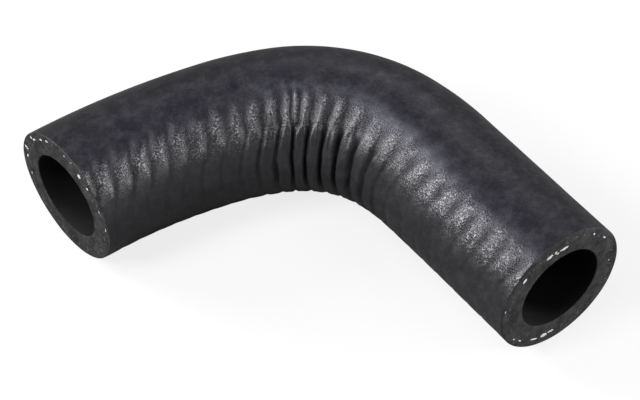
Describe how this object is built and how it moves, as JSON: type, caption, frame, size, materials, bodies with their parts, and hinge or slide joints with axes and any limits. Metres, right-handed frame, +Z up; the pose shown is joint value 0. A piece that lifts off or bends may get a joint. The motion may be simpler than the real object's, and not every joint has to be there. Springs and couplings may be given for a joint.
{
  "type": "turbo oil hose",
  "caption": "Moulded black rubber elbow hose for a turbocharger's oil line, wrinkled across the inside of its right-angle bend, with cut ends.",
  "frame": {"origin": "centre of the hose's box in plan, on the surface that the hose lies on", "axes": "+Z up from the surface that the hose lies on; -Y out of end B along its bore; -X roughly out of end A, whose cut is 4 degrees off square"},
  "size_m": [0.0756, 0.0894, 0.028],
  "materials": {
    "rubber": "matt",
    "yarn": "matt"
  },
  "bodies": {
    "root": {"hose": "rubber"}
  },
  "joints": []
}
